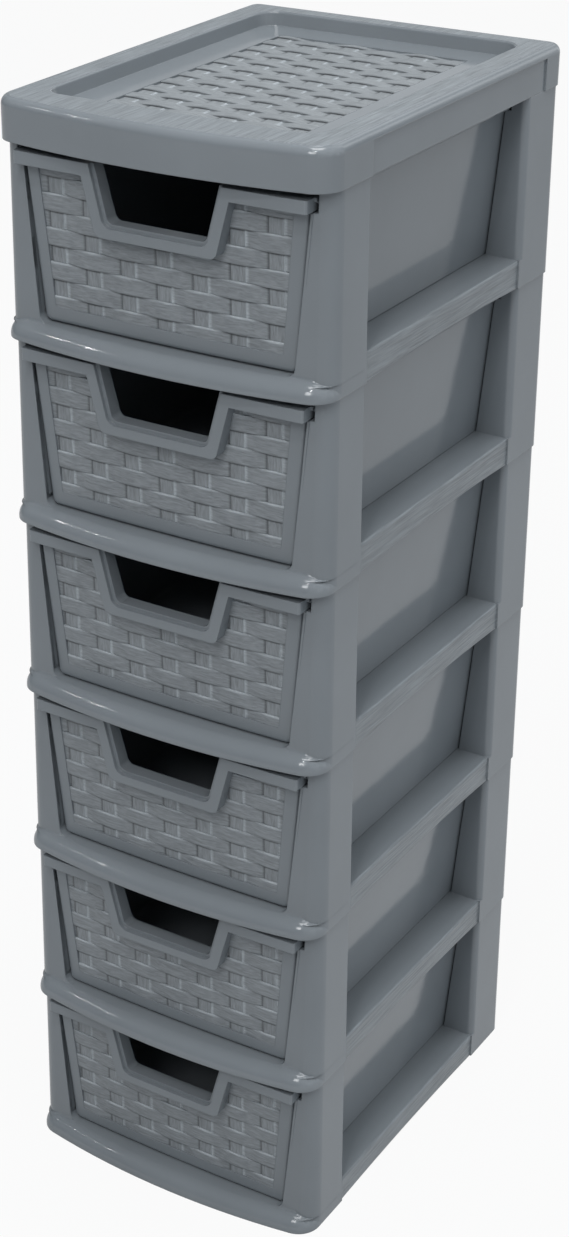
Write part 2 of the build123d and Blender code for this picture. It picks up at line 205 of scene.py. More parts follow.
def make_room():
    """A pale room: white where the camera looks past the object, graded for everything else."""
    world = bpy.data.worlds.new("room")
    world.use_nodes = True
    tree = world.node_tree
    tree.nodes.clear()
    place = add_node(tree, "ShaderNodeTexCoord").outputs["Generated"]
    parts = add_node(tree, "ShaderNodeSeparateXYZ", {0: place})
    height = add_node(tree, "ShaderNodeMapRange",
                      {"Value": parts.outputs["Z"], "From Min": -1.0, "From Max": 1.0})
    grade = add_node(tree, "ShaderNodeValToRGB", {0: height.outputs[0]})
    ramp = grade.color_ramp
    ramp.elements[0].color = linear(ROOM_BELOW)
    ramp.elements[1].color = linear(ROOM_ABOVE)
    middle = ramp.elements.new(0.5)
    middle.color = linear(ROOM_LEVEL)
    # the white backdrop is on one side, and the darker room on the other
    toward = add_node(tree, "ShaderNodeVectorMath", {0: place, 1: BRIGHT_SIDE},
                      operation="DOT_PRODUCT")
    level = add_node(tree, "ShaderNodeMapRange",
                     {"Value": toward.outputs["Value"], "From Min": -1.0, "From Max": 1.0,
                      "To Min": ROOM_DARK_SIDE, "To Max": ROOM_BRIGHT_SIDE})
    walls = add_node(tree, "ShaderNodeBackground",
                     {"Color": grade.outputs[0], "Strength": level.outputs[0]})
    side = add_node(tree, "ShaderNodeValToRGB",
                    {0: add_node(tree, "ShaderNodeMapRange",
                                 {"Value": toward.outputs["Value"],
                                  "From Min": GLOSS_DARK_TOWARD,
                                  "From Max": GLOSS_BRIGHT_TOWARD}).outputs[0]})
    side.color_ramp.elements[0].color = linear(GLOSS_DARK)
    side.color_ramp.elements[1].color = linear(GLOSS_BRIGHT)
    # Windows and furniture stand upright, so a mirrored room has upright bands. From the
    # photograph's height they show on the lid alone, because the walls there mirror the floor.
    upright = add_node(tree, "ShaderNodeMapping",
                       {"Vector": place, "Scale": (BANDS_ROUND, BANDS_ROUND, BANDS_UP)})
    bands = add_node(tree, "ShaderNodeTexNoise",
                     {"Vector": upright.outputs[0], "Scale": 1.0, "Detail": 1.0})
    banded = add_node(tree, "ShaderNodeMapRange",
                      {"Value": bands.outputs["Fac"],
                       "From Min": BAND_NOISE[0], "From Max": BAND_NOISE[1],
                       "To Min": BAND_STRENGTH[0], "To Max": BAND_STRENGTH[1]})
    backdrop = add_node(tree, "ShaderNodeBackground",
                        {"Color": side.outputs[0], "Strength": banded.outputs[0]})
    white = add_node(tree, "ShaderNodeBackground",
                     {"Color": linear("#FFFFFF"), "Strength": 1.0})
    ray = add_node(tree, "ShaderNodeLightPath")
    glossed = add_node(tree, "ShaderNodeMixShader",
                       {0: ray.outputs["Is Glossy Ray"], 1: walls.outputs[0],
                        2: backdrop.outputs[0]})
    mix = add_node(tree, "ShaderNodeMixShader",
                   {0: ray.outputs["Is Camera Ray"], 1: glossed.outputs[0],
                    2: white.outputs[0]})
    add_node(tree, "ShaderNodeOutputWorld", {"Surface": mix.outputs[0]})
    bpy.context.scene.world = world
    return world


make_room()

# %% Lamps
AIM_SHARE_OF_HEIGHT = 0.6
LAMP_AIM = Vector((0, 0, TIER_PITCH * TIER_COUNT * AIM_SHARE_OF_HEIGHT))


def make_lamp(name, azimuth, elevation, distance, size, power):
    """A square soft lamp that points at the object, placed by its bearing from the object."""
    data = bpy.data.lights.new(name, "AREA")
    data.size = size
    data.energy = power
    lamp = bpy.data.objects.new(name, data)
    bpy.context.scene.collection.objects.link(lamp)
    turn = math.radians(azimuth)
    rise = math.radians(elevation)
    out = Vector((math.sin(turn) * math.cos(rise), -math.cos(turn) * math.cos(rise),
                  math.sin(rise)))
    lamp.location = LAMP_AIM + out * distance
    lamp.rotation_euler = out.to_track_quat("Z", "Y").to_euler()
    return lamp


make_lamp("softbox_above", azimuth=30, elevation=82, distance=2.3, size=1.0, power=22)
make_lamp("softbox_front", azimuth=10, elevation=40, distance=2.3, size=0.7, power=14)
make_lamp("ceiling_spot_left", azimuth=12, elevation=58, distance=2.2, size=0.04, power=3)
make_lamp("ceiling_spot_right", azimuth=20, elevation=58, distance=2.2, size=0.04, power=3)
make_lamp("far_spot_left", azimuth=-60, elevation=40, distance=2.2, size=0.04, power=0.9)
make_lamp("far_spot_right", azimuth=-52, elevation=40, distance=2.2, size=0.04, power=0.9)

# %% [markdown]
# ## The plastic
# The real material is injection moulded polypropylene, dyed slate grey right through. The mould
# leaves most faces glossy, with the faint waviness that a flat moulded wall always has. Edges
# aren't knife sharp: a rounding of a few tenths of a millimetre catches a thin line of light.
# That rounding is too small to be worth modelling on every edge, so the shader's Bevel node
# does it. The lid's rim and the side strips are brushed in the real mould, so they get fine
# parallel lines. The drawers' plain borders are satin, with less gloss and no lines.

# %% Polypropylene, polished or brushed by the mould
SLATE = "#777D82"
ETCHED_SLATE = "#7E8387"
PLASTIC_IOR = 1.49
GLOSS_ROUGHNESS = 0.11
SATIN_ROUGHNESS = 0.3
BRUSHED_ROUGHNESS = 0.42
EDGE_ROUNDING = 0.7 * MM
SWIRL_SPACING = 60 * MM
SWIRL_RANGE = (0.96, 1.04)
WAVINESS_SPACING = 14 * MM
WAVINESS_DEPTH = 0.12 * MM
WAVINESS_STRENGTH = 0.6
GRAIN_SPACING = 1.0 * MM
GRAIN_LENGTH = 9 * MM
GRAIN_DEPTH = 0.3 * MM
GRAIN_TINT = 0.2
GRAIN_DRIFT = 1.6 * MM
GRAIN_DRIFT_SPACING = 7 * MM
BRUSH_SPACING = 1.2 * MM
BRUSH_LENGTH = 26 * MM
# painted light on the weave: how much lighter its upper and right edges are drawn as painted
# highlight, and how much darker its grooves under proud strips as painted shade
PAINTED_EDGE_HIGHLIGHT = 2.0
PAINTED_GROOVE_SHADE = 0.12


def new_material(name):
    """An empty node material."""
    material = bpy.data.materials.new(name)
    material.use_nodes = True
    material.node_tree.nodes.clear()
    return material


def scaled(tree, value, low, high, new_low, new_high):
    """A value carried from one range to another, and held at its ends."""
    return add_node(tree, "ShaderNodeMapRange",
                    {"Value": value, "From Min": low, "From Max": high,
                     "To Min": new_low, "To Max": new_high}).outputs[0]


def times(tree, first, second):
    """The product of two values, which is one only where both are."""
    return add_node(tree, "ShaderNodeMath", {0: first, 1: second},
                    operation="MULTIPLY").outputs[0]


def band(tree, value, low, high, soft):
    """One between two places and zero outside them, with soft ends."""
    return times(tree, scaled(tree, value, low - soft, low + soft, 0.0, 1.0),
                 scaled(tree, value, high - soft, high + soft, 1.0, 0.0))


def plastic_colour(tree, place, colour, lines=None, depth=0.0):
    """The dyed colour, a touch uneven as pigment swirls, and darker down in a grain's lines."""
    swirl = add_node(tree, "ShaderNodeTexNoise",
                     {"Vector": place, "Scale": 1 / SWIRL_SPACING, "Detail": 3.0})
    value = scaled(tree, swirl.outputs["Fac"], 0.3, 0.7, *SWIRL_RANGE)
    if lines is not None:
        value = times(tree, value, scaled(tree, lines, 0.3, 0.7, 1.0 - depth, 1.0 + depth))
    return add_node(tree, "ShaderNodeHueSaturation",
                    {"Color": linear(colour), "Value": value}).outputs[0]


def stretched_lines(tree, place, across, along, turn_axis):
    """Noise drawn out along one axis, which reads as brush lines."""
    scale = [1 / across] * 3
    scale["XYZ".index(turn_axis)] = 1 / along
    stretch = add_node(tree, "ShaderNodeMapping", {"Vector": place, "Scale": scale})
    return add_node(tree, "ShaderNodeTexNoise",
                    {"Vector": stretch.outputs[0], "Scale": 1.0, "Detail": 2.0,
                     "Roughness": 0.6}).outputs["Fac"]


def moulded_plastic(name, brushed_at, brushed_roughness, line_depth, line_tint):
    """Glossy, slightly wavy plastic with softened edges, brushed along Y where a mask says so."""
    material = new_material(name)
    tree = material.node_tree
    coordinates = add_node(tree, "ShaderNodeTexCoord").outputs
    place = coordinates["Object"]
    facing = add_node(tree, "ShaderNodeSeparateXYZ", {0: coordinates["Normal"]}).outputs
    where = add_node(tree, "ShaderNodeSeparateXYZ", {0: place}).outputs
    mask = brushed_at(tree, where, facing)
    lines = stretched_lines(tree, place, BRUSH_SPACING, BRUSH_LENGTH, "Y")
    edge = add_node(tree, "ShaderNodeBevel", {"Radius": EDGE_ROUNDING}, samples=6)
    wave = add_node(tree, "ShaderNodeTexNoise",
                    {"Vector": place, "Scale": 1 / WAVINESS_SPACING, "Detail": 1.0})
    waved = add_node(tree, "ShaderNodeBump",
                     {"Height": wave.outputs["Fac"], "Distance": WAVINESS_DEPTH,
                      "Strength": WAVINESS_STRENGTH, "Normal": edge.outputs[0]})
    brushed = add_node(tree, "ShaderNodeBump",
                       {"Height": times(tree, lines, mask), "Distance": line_depth,
                        "Strength": 1.0, "Normal": waved.outputs[0]})
    masked_lines = scaled(tree, times(tree, add_node(
        tree, "ShaderNodeMath", {0: lines, 1: 0.5}, operation="SUBTRACT").outputs[0], mask),
        -0.5, 0.5, 0.0, 1.0)
    shader = add_node(tree, "ShaderNodeBsdfPrincipled",
                      {"Base Color": plastic_colour(tree, place, SLATE, masked_lines, line_tint),
                       "Roughness": scaled(tree, mask, 0.0, 1.0, GLOSS_ROUGHNESS,
                                           brushed_roughness),
                       "IOR": PLASTIC_IOR, "Normal": brushed.outputs[0]})
    add_node(tree, "ShaderNodeOutputMaterial", {"Surface": shader.outputs[0]})
    return material


def grained_plastic(name, direction):
    """Plastic from an etched mould: short wavy lines along one direction, and less gloss."""
    material = new_material(name)
    tree = material.node_tree
    place = add_node(tree, "ShaderNodeTexCoord").outputs["Object"]
    drift = add_node(tree, "ShaderNodeTexNoise",
                     {"Vector": place, "Scale": 1 / GRAIN_DRIFT_SPACING, "Detail": 1.0})
    wavy = add_node(tree, "ShaderNodeVectorMath",
                    {0: drift.outputs["Color"], 1: (GRAIN_DRIFT,) * 3, 2: place},
                    operation="MULTIPLY_ADD")
    lines = stretched_lines(tree, wavy.outputs[0], GRAIN_SPACING, GRAIN_LENGTH, direction)
    bump = add_node(tree, "ShaderNodeBump",
                    {"Height": lines, "Distance": GRAIN_DEPTH, "Strength": 1.0})
    # the mesh attribute read here paints light on the weave: lighter on the upper and right edges
    # as painted highlight, darker in the grooves below proud strips and on the straps' left sides
    # as painted shade
    painted_light_shade = add_node(tree, "ShaderNodeAttribute", attribute_name="painted_light_shade").outputs["Fac"]
    light_painted_colour = add_node(tree, "ShaderNodeHueSaturation",
                      {"Color": plastic_colour(tree, place, ETCHED_SLATE, lines, GRAIN_TINT),
                       "Value": times(tree, scaled(tree, painted_light_shade, 0.0, 1.0, 1.0, PAINTED_EDGE_HIGHLIGHT),
                                      scaled(tree, painted_light_shade, -1.0, 0.0, PAINTED_GROOVE_SHADE, 1.0))})
    shader = add_node(tree, "ShaderNodeBsdfPrincipled",
                      {"Base Color": light_painted_colour.outputs[0],
                       "Roughness": BRUSHED_ROUGHNESS, "IOR": PLASTIC_IOR,
                       "Normal": bump.outputs[0]})
    add_node(tree, "ShaderNodeOutputMaterial", {"Surface": shader.outputs[0]})
    return material


# %% Where each piece is brushed
RIM_TOP = 1.0 * MM
STRIP_FACE = HALF_WIDTH - 1.9 * MM
STRIP_HEIGHT = 16.0 * MM
WINDOW_FRONT = FRONT + 51 * MM
WINDOW_BACK = BACK - 42 * MM
RIM_BRUSH = {"line_depth": 0.6 * MM, "line_tint": 0.24}
STRIP_BRUSH = {"line_depth": 0.5 * MM, "line_tint": 0.22}
NO_BRUSH = {"line_depth": 0.0, "line_tint": 0.0}


def on_lid_rim(tree, where, facing):
    """The flat top of the lid's rim."""
    return times(tree, scaled(tree, facing["Z"], 0.93, 0.99, 0.0, 1.0),
                 scaled(tree, where["Z"], LID_TOP - 2 * RIM_TOP, LID_TOP - RIM_TOP, 0.0, 1.0))


def on_side_strips(tree, where, facing):
    """The outer faces of the strips between a frame's posts, on every tier."""
    side = add_node(tree, "ShaderNodeMath", {0: where["X"]}, operation="ABSOLUTE").outputs[0]
    height = add_node(tree, "ShaderNodeMath", {0: where["Z"], 1: TIER_PITCH},
                      operation="FLOORED_MODULO").outputs[0]
    outside = times(tree, scaled(tree, side, STRIP_FACE - RIM_TOP, STRIP_FACE, 0.0, 1.0),
                    band(tree, where["Y"], WINDOW_FRONT, WINDOW_BACK, 0.4 * MM))
    return times(tree, outside, scaled(tree, height, STRIP_HEIGHT, STRIP_HEIGHT + RIM_TOP,
                                       1.0, 0.0))


def on_drawer_front(tree, where, facing):
    """The front of a drawer: its borders, lip and the raised band of the pull."""
    return times(tree, scaled(tree, facing["Y"], -0.9, -0.6, 1.0, 0.0),
                 scaled(tree, where["Y"], FRONT + 20 * MM, FRONT + 22 * MM, 1.0, 0.0))


lid_plastic = moulded_plastic("moulded_polypropylene_brushed_rim", on_lid_rim,
                              BRUSHED_ROUGHNESS, **RIM_BRUSH)
frame_plastic = moulded_plastic("moulded_polypropylene_brushed_strips", on_side_strips,
                                SATIN_ROUGHNESS, **STRIP_BRUSH)
drawer_plastic = moulded_plastic("moulded_polypropylene_satin_front", on_drawer_front,
                                 SATIN_ROUGHNESS, **NO_BRUSH)
strip_grain = grained_plastic("moulded_polypropylene_strip_grain", "X")
strap_grain = grained_plastic("moulded_polypropylene_strap_grain", "Z")
tray_strap_grain = grained_plastic("moulded_polypropylene_tray_strap_grain", "Y")
for name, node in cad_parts.items():
    family = name.split("_")[0]
    node.data.materials[0] = {"lid": lid_plastic, "frame": frame_plastic,
                              "drawer": drawer_plastic}[family]
print("materials:", [material.name for material in bpy.data.materials])

# %% [markdown]
# ## The woven relief
# The drawers and the tray imitate a basket: flat strips run across and pass over and under
# upright straps. In a moulding that is one skin, not real strips, so it is modelled as one
# sheet. The smallest piece that repeats is a tile of two columns by two rows. In each row the
# strip rises over one strap and dips below the next, and the rows take turns. The tile is made
# once from that rule, Geometry Nodes lay it out on a grid, weld the copies, trim them to the
# field, give the sheet a back, and bend it to the drawer's bowed and leaning face.

# %% The tile
STRAP_WIDTH = 9.2 * MM
STRIP_MIDDLE = -0.80 * MM
STRIP_SWING = 0.72 * MM
STRAP_LEVEL = -0.95 * MM
EDGE_WALL = 0.12 * MM
EDGE_SOFT = 0.6 * MM
GROOVE = 0.3 * MM
SEAM_BULGE = 0.3 * MM
STRAP_EDGE_DROP = 0.1 * MM
STRAP_EDGE_WIDTH = 0.3 * MM
EDGE_DROP = 0.08 * MM
PROUD_EDGE_DROP = 0.22 * MM
SHOULDER_DROP = 0.07 * MM
# painted shade below a proud strip's lower edge, and the painted highlight and shade on a strap's
# right and left sides
PAINTED_SHADE_BELOW_STEP = 0.4
STRAP_SIDE_PAINTED_LIGHT = 0.9


def strip_level(across, row, pitch):
    """Height of a strip at a place across the tile. Row 0 rises at column 0."""
    sign = 1 if row % 2 == 0 else -1
    return STRIP_MIDDLE + sign * STRIP_SWING * math.cos(math.pi * across / pitch)


def tile_lines_across(pitch):
    """Where the tile's upright mesh lines run, over two columns."""
    half_strap = STRAP_WIDTH / 2
    half_cell = [0, half_strap - 1.2 * MM, half_strap - 0.5 * MM, half_strap - EDGE_WALL,
                 half_strap + EDGE_WALL, half_strap + 1.8 * MM, half_strap + 3.6 * MM,
                 pitch / 2 - 1.2 * MM]
    cell = [-x for x in reversed(half_cell[1:])] + half_cell
    first = [-pitch / 2] + cell + [pitch / 2]
    return first + [x + pitch for x in cell] + [1.5 * pitch]


def tile_lines_up(row_height):
    """Where the mesh lines run up one row."""
    return [EDGE_WALL, EDGE_SOFT, 2 * EDGE_SOFT, row_height / 2,
            row_height - 2 * EDGE_SOFT, row_height - EDGE_SOFT, row_height - EDGE_WALL]


def relief_level(across, up, row_height, pitch):
    """Height of the woven surface, and whether it is strap there, at a place on the tile."""
    row = int(up // row_height)
    inside = up - row * row_height
    own = strip_level(across, row, pitch)
    column = round(across / pitch)
    from_strap = abs(across - column * pitch)
    strap_shows = (row + column) % 2 == 1
    if strap_shows and from_strap < STRAP_WIDTH / 2:
        rounding = STRAP_EDGE_DROP if from_strap > STRAP_WIDTH / 2 - STRAP_EDGE_WIDTH else 0
        return STRAP_LEVEL - rounding, True
    other = strip_level(across, row + 1, pitch)
    edge = min(inside, row_height - inside)
    proud = max(0.0, own - other) / (2 * STRIP_SWING)
    drop = 0.0
    if edge < 0.9 * EDGE_SOFT:
        drop = EDGE_DROP + PROUD_EDGE_DROP * proud
    elif edge < 1.9 * EDGE_SOFT:
        drop = SHOULDER_DROP * proud
    return own - drop, False


def seam_shift(across, row, pitch):
    """How far the seam under a row moves: a proud strip bulges over its neighbour."""
    above = strip_level(across, row, pitch)
    below = strip_level(across, row + 1, pitch)
    return -SEAM_BULGE * (above - below) / (2 * STRIP_SWING)


def near(distance):
    """One at an edge, and zero from a little way off."""
    return max(0.0, min(1.0, 1 - (distance - EDGE_WALL) / (2 * EDGE_SOFT - EDGE_WALL)))


def painted_edge_light_shade(across, up, row_height, pitch):
    """Plus one on the upper and right edges, a painted highlight; minus one in the grooves under
    proud strips and on the straps' left sides, a painted shade.
    """
    row = int(up // row_height)
    inside = up - row * row_height
    own = strip_level(across, row, pitch)
    step = (own - strip_level(across, row + 1, pitch)) / (2 * STRIP_SWING)
    painted_light_shade = step * near(row_height - inside) - PAINTED_SHADE_BELOW_STEP * max(0.0, step) * near(inside)
    column = round(across / pitch)
    offset = across - column * pitch
    if (row + column) % 2 == 1 and painted_light_shade <= 0 and abs(abs(offset) - STRAP_WIDTH / 2) < EDGE_SOFT:
        side_share = STRAP_SIDE_PAINTED_LIGHT - abs(abs(offset) - STRAP_WIDTH / 2) / EDGE_SOFT
        painted_light_shade += side_share if offset > 0 else -side_share
    return max(-1.0, min(1.0, painted_light_shade))


def make_tile(name, pitch, row_height, materials):
    """The tile as a mesh in its own X (across) and Y (up), with its relief along Z."""
    columns = tile_lines_across(pitch)
    ups = []
    for row in range(2):
        ups.append((row * row_height, True))
        ups += [(row * row_height + up, False) for up in tile_lines_up(row_height)]
    ups.append((2 * row_height, True))
    points = []
    painted_light_shades = []
    for up, is_seam in ups:
        for across in columns:
            below_seam = (up - EDGE_WALL) % (2 * row_height) if is_seam else up
            painted_light_shades.append(painted_edge_light_shade(across, below_seam, row_height, pitch))
            if is_seam:
                level = min(relief_level(across, (up - EDGE_WALL) % (2 * row_height),
                                         row_height, pitch)[0],
                            relief_level(across, (up + EDGE_WALL) % (2 * row_height),
                                         row_height, pitch)[0]) - GROOVE
            else:
                level = relief_level(across, up, row_height, pitch)[0]
            row = int(up // row_height)
            share = up / row_height - row
            shift = ((1 - share) * seam_shift(across, row, pitch)
                     + share * seam_shift(across, row + 1, pitch))
            points.append((across, up + shift, level))
    count = len(columns)
    faces = []
    straps = []
    for j in range(len(ups) - 1):
        for i in range(count - 1):
            start = j * count + i
            faces.append((start, start + 1, start + 1 + count, start + count))
            middle = (columns[i] + columns[i + 1]) / 2
            height = min((ups[j][0] + ups[j + 1][0]) / 2, 2 * row_height - EDGE_WALL / 2)
            straps.append(relief_level(middle, height, row_height, pitch)[1])
    mesh = bpy.data.meshes.new(name)
    mesh.from_pydata(points, [], faces)
    for material in materials:
        mesh.materials.append(material)
    for face, is_strap in zip(mesh.polygons, straps):
        face.material_index = 1 if is_strap else 0
    # the per-point values of painted highlight on the upper and right edges and painted shade in
    # the grooves, stored for the weave's material
    mesh.attributes.new("painted_light_shade", "FLOAT", "POINT").data.foreach_set("value", painted_light_shades)
    return bpy.data.objects.new(name, mesh)


# %% [markdown]
# ## The node tree that lays out the weave
# The tree works in the tile's flat frame: X across, Y up and Z out of the face. Trimming comes
# before the bend, because the field's outline is a plain trapezoid there, with a second one
# taken out round the finger opening. The trim runs a little past the field's edge, so that the
# cut is hidden in the border or under the raised band of the pull.

# %% Sockets of the weave's tree
WEAVE_INPUTS = (
    ("Tile", "NodeSocketObject"), ("Columns", "NodeSocketInt"), ("Rows", "NodeSocketInt"),
    ("Pitch", "NodeSocketFloat"), ("Row Height", "NodeSocketFloat"),
    ("Column Shift", "NodeSocketFloat"),
    ("Foot Half Width", "NodeSocketFloat"), ("Side Slope", "NodeSocketFloat"),
    ("Foot", "NodeSocketFloat"), ("Head", "NodeSocketFloat"),
    ("Notch Foot", "NodeSocketFloat"), ("Notch Foot Half Width", "NodeSocketFloat"),
    ("Notch Slope", "NodeSocketFloat"), ("Thickness", "NodeSocketFloat"),
    ("Bow", "NodeSocketFloat"), ("Lean", "NodeSocketFloat"),
    ("Strip Plastic", "NodeSocketMaterial"), ("Strap Plastic", "NodeSocketMaterial"),
)


def math_node(tree, operation, first, second=0.0, third=0.0):
    """The result of one sum."""
    return add_node(tree, "ShaderNodeMath", {0: first, 1: second, 2: third},
                    operation=operation).outputs[0]


def make_weave_tree():
    """Grid of points, tile on each, weld, trim, back, bend, materials."""
    tree = bpy.data.node_groups.new("woven_relief", "GeometryNodeTree")
    tree.interface.new_socket("Geometry", in_out="INPUT", socket_type="NodeSocketGeometry")
    for name, kind in WEAVE_INPUTS:
        tree.interface.new_socket(name, in_out="INPUT", socket_type=kind)
    tree.interface.new_socket("Geometry", in_out="OUTPUT", socket_type="NodeSocketGeometry")
    given = add_node(tree, "NodeGroupInput").outputs
    # points two columns and two rows apart, the first one at the tile's own origin
    wide = math_node(tree, "MULTIPLY", given["Pitch"], 2.0)
    tall = math_node(tree, "MULTIPLY", given["Row Height"], 2.0)
    span = math_node(tree, "MULTIPLY", math_node(tree, "SUBTRACT", given["Columns"], 1.0), wide)
    rise = math_node(tree, "MULTIPLY", math_node(tree, "SUBTRACT", given["Rows"], 1.0), tall)
    grid = add_node(tree, "GeometryNodeMeshGrid",
                    {"Size X": span, "Size Y": rise, "Vertices X": given["Columns"],
                     "Vertices Y": given["Rows"]})
    points = add_node(tree, "GeometryNodeMeshToPoints", {"Mesh": grid.outputs["Mesh"]})
    tile = add_node(tree, "GeometryNodeObjectInfo", {"Object": given["Tile"]})
    copies = add_node(tree, "GeometryNodeInstanceOnPoints",
                      {"Points": points.outputs[0], "Instance": tile.outputs["Geometry"]})
    real = add_node(tree, "GeometryNodeRealizeInstances", {"Geometry": copies.outputs[0]})
    # the tile's origin is its first column and lowest line, so the sheet is brought to centre
    centre = add_node(tree, "ShaderNodeCombineXYZ",
                      {"X": math_node(tree, "MULTIPLY_ADD", given["Pitch"], -0.5,
                                      given["Column Shift"]),
                       "Y": math_node(tree, "MULTIPLY", given["Row Height"], -1.0)})
    centred = add_node(tree, "GeometryNodeTransform",
                       {"Geometry": real.outputs[0], "Translation": centre.outputs[0]})
    welded = add_node(tree, "GeometryNodeMergeByDistance",
                      {"Geometry": centred.outputs[0], "Distance": EDGE_WALL / 10})
    # trim to the field
    where = add_node(tree, "ShaderNodeSeparateXYZ",
                     {0: add_node(tree, "GeometryNodeInputPosition").outputs[0]})
    side = math_node(tree, "ABSOLUTE", where.outputs["X"])
    above_foot = math_node(tree, "SUBTRACT", where.outputs["Y"], given["Foot"])
    half = math_node(tree, "ADD", given["Foot Half Width"],
                     math_node(tree, "MULTIPLY", above_foot, given["Side Slope"]))
    beside = math_node(tree, "GREATER_THAN", side, half)
    under = math_node(tree, "LESS_THAN", above_foot, 0.0)
    over = math_node(tree, "GREATER_THAN", where.outputs["Y"], given["Head"])
    above_notch = math_node(tree, "SUBTRACT", where.outputs["Y"], given["Notch Foot"])
    notch_half = math_node(tree, "ADD", given["Notch Foot Half Width"],
                           math_node(tree, "MULTIPLY", above_notch, given["Notch Slope"]))
    in_notch = math_node(tree, "MULTIPLY", math_node(tree, "GREATER_THAN", above_notch, 0.0),
                         math_node(tree, "LESS_THAN", side, notch_half))
    outside = math_node(tree, "MAXIMUM", math_node(tree, "MAXIMUM", beside, under),
                        math_node(tree, "MAXIMUM", over, in_notch))
    trimmed = add_node(tree, "GeometryNodeDeleteGeometry",
                       {"Geometry": welded.outputs[0], "Selection": outside}, domain="FACE")
    # a back at a fixed depth, and walls round the trim
    turned = add_node(tree, "GeometryNodeFlipFaces", {"Mesh": trimmed.outputs[0]})
    depth = add_node(tree, "ShaderNodeCombineXYZ",
                     {"Z": math_node(tree, "MULTIPLY", given["Thickness"], -1.0)})
    backed = add_node(tree, "GeometryNodeExtrudeMesh",
                      {"Mesh": turned.outputs[0], "Offset": depth.outputs[0],
                       "Individual": False}, mode="FACES")
    joined = add_node(tree, "GeometryNodeJoinGeometry")
    tree.links.new(trimmed.outputs[0], joined.inputs[0])
    tree.links.new(backed.outputs["Mesh"], joined.inputs[0])
    closed = add_node(tree, "GeometryNodeMergeByDistance",
                      {"Geometry": joined.outputs[0], "Distance": EDGE_WALL / 10})
    # bend to the face: it bows out in the middle, and leans back towards its foot
    back_by = math_node(tree, "ADD",
                        math_node(tree, "MULTIPLY", given["Bow"],
                                  math_node(tree, "POWER",
                                            math_node(tree, "DIVIDE", side, HALF_WIDTH), 2.0)),
                        math_node(tree, "MULTIPLY", given["Lean"], where.outputs["Y"]))
    shift = add_node(tree, "ShaderNodeCombineXYZ",
                     {"Z": math_node(tree, "MULTIPLY", back_by, -1.0)})
    bent = add_node(tree, "GeometryNodeSetPosition",
                    {"Geometry": closed.outputs[0], "Offset": shift.outputs[0]})
    # the tile's second material marks the straps
    is_strap = add_node(tree, "GeometryNodeInputMaterialIndex").outputs[0]
    strips = add_node(tree, "GeometryNodeSetMaterial",
                      {"Geometry": bent.outputs[0],
                       "Selection": math_node(tree, "LESS_THAN", is_strap, 0.5),
                       "Material": given["Strip Plastic"]})
    straps = add_node(tree, "GeometryNodeSetMaterial",
                      {"Geometry": strips.outputs[0],
                       "Selection": math_node(tree, "GREATER_THAN", is_strap, 0.5),
                       "Material": given["Strap Plastic"]})
    add_node(tree, "NodeGroupOutput", {0: straps.outputs[0]})
    return tree


weave_tree = make_weave_tree()
print("nodes in the weave's tree:", len(weave_tree.nodes))


# %% Run the tree and keep a plain mesh
def woven_mesh(name, tile, **sizes):
    """The woven sheet for one field, as a plain mesh in the tile's flat frame."""
    holder = bpy.data.objects.new("holder", bpy.data.meshes.new("holder"))
    bpy.context.scene.collection.objects.link(holder)
    modifier = holder.modifiers.new("weave", "NODES")
    modifier.node_group = weave_tree
    sizes["tile"] = tile
    for item in weave_tree.interface.items_tree:
        key = item.name.lower().replace(" ", "_")
        if item.in_out == "INPUT" and key in sizes:
            modifier[item.identifier] = sizes.pop(key)
    assert not sizes, f"no such input: {sorted(sizes)}"
    bpy.context.view_layer.update()
    graph = bpy.context.evaluated_depsgraph_get()
    mesh = bpy.data.meshes.new_from_object(holder.evaluated_get(graph))
    mesh.name = name
    bpy.data.objects.remove(holder)
    return mesh


# %% [markdown]
# ## Weave of the drawers
# Six drawers carry the same relief. The field is a trapezoid that narrows downwards with the
# drawer. The mesh is made once, stood up so that its height runs along Z, and copied to each
# tier, where it rides on the drawer's body.

# %% Weave of the drawers
DRAWER_PITCH = 22.4 * MM
DRAWER_ROW = 9.4 * MM
DRAWER_TILES = 5
FIELD_FOOT = 19.5 * MM
FIELD_HEAD = 97.0 * MM
LOWEST_ROW_LINE = 25.4 * MM
FIELD_FOOT_HALF = 70.9 * MM
FIELD_SLOPE = 7.0 / 79.8
HIDDEN_EDGE = 2.5 * MM
NOTCH_FOOT = 73.5 * MM
NOTCH_FOOT_HALF = 30.0 * MM
NOTCH_SLOPE = 8.0 / 30.5
BAND_COVER = 4.5 * MM
FACE_SETBACK = 13.5 * MM
FACE_BOW = 3.0 * MM
FACE_LEAN = math.tan(math.radians(2.2))
DRAWER_TOP = 104.0 * MM
RELIEF_THICKNESS = 1.2 * MM


